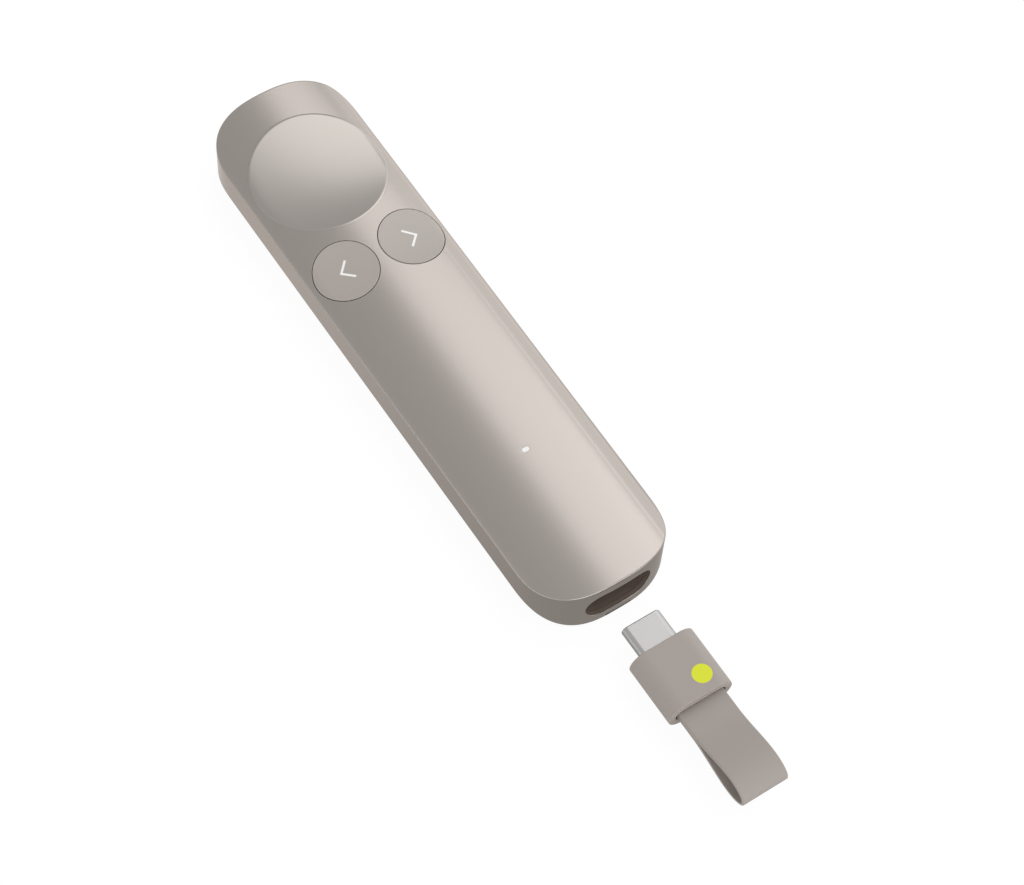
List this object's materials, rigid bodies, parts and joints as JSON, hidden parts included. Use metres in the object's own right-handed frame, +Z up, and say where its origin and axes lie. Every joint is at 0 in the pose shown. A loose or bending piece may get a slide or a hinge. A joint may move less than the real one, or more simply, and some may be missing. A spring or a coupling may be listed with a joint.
{
  "type": "wireless presentation clicker",
  "caption": "Slim hand-held presentation clicker with a crowned top, a dished pointer pad, two round buttons and a USB-C receiver on a strap loop that slides out of its lower end.",
  "frame": {"origin": "middle of the flat strip on the underside, halfway along the casing", "axes": "+Y along the casing towards the pointer pad's end, +X to the right of someone who holds it with the pad ahead, +Z up through the crowned top"},
  "size_m": [0.0296, 0.1715, 0.0124],
  "materials": {
    "casing_metal": "satin warm grey, fine metallic sheen",
    "cover_grey": "fine matt moulding",
    "dish_matte": "soft satin",
    "button_matte": "matt, soft to the touch",
    "mark_white": "printed white",
    "light_guide": "milky clear",
    "bay_dark": "dark matt moulding",
    "frame_black": "glass-filled moulding",
    "board_green": "solder mask",
    "chip_black": "moulded package",
    "ceramic": "ceramic and nylon",
    "foil_silver": "pouch foil",
    "foam_grey": "foam tape",
    "steel": "stamped steel",
    "silicone_black": "silicone key pad",
    "receiver_matte": "matt moulding",
    "strap_matte": "soft matt band",
    "lime": "printed lime"
  },
  "bodies": {
    "root": {"top_shell": "casing_metal", "bottom_cover": "cover_grey", "chassis": "frame_black", "led_light_guide": "light_guide", "status_led": "ceramic", "main_pcb": "board_green", "pcb_screws": "steel", "processor_chip": "chip_black", "motion_sensor": "chip_black", "radio_shield": "steel", "radio_chip": "chip_black", "chip_antenna": "ceramic", "charger_chip": "chip_black", "battery_cell": "foil_silver", "battery_pad": "foam_grey", "battery_connector": "ceramic", "vibration_motor": "steel", "dish_switch": "steel", "back_switch": "steel", "next_switch": "steel", "receiver_bay": "bay_dark", "charge_port_shell": "steel", "charge_port_tongue": "chip_black"},
    "dish": {"pointer_dish": "dish_matte", "dish_plunger": "silicone_black"},
    "back": {"back_button": "button_matte", "back_arrow": "mark_white", "back_plunger": "silicone_black"},
    "next": {"next_button": "button_matte", "next_arrow": "mark_white", "next_plunger": "silicone_black"},
    "receiver": {"receiver_cap": "receiver_matte", "receiver_core": "frame_black", "receiver_front": "receiver_matte", "usb_plug_shell": "steel", "usb_plug_insert": "chip_black", "receiver_pcb": "board_green", "receiver_chip": "chip_black", "receiver_mark": "lime", "strap_loop": "strap_matte", "strap_pin": "steel"}
  },
  "joints": [
    {"name": "dish_press", "type": "slide", "parent": "root", "child": "dish", "axis": [0, 0, -1], "range_m": [0, 0.0003], "stiffness_N_per_m": 2500},
    {"name": "back_press", "type": "slide", "parent": "root", "child": "back", "axis": [0.123, 0, -0.9924], "range_m": [0, 0.0003], "stiffness_N_per_m": 2500},
    {"name": "next_press", "type": "slide", "parent": "root", "child": "next", "axis": [-0.123, 0, -0.9924], "range_m": [0, 0.0003], "stiffness_N_per_m": 2500},
    {"name": "receiver_slide", "type": "slide", "parent": "root", "child": "receiver", "axis": [0, 1, 0], "range_m": [0, 0.02535]}
  ]
}
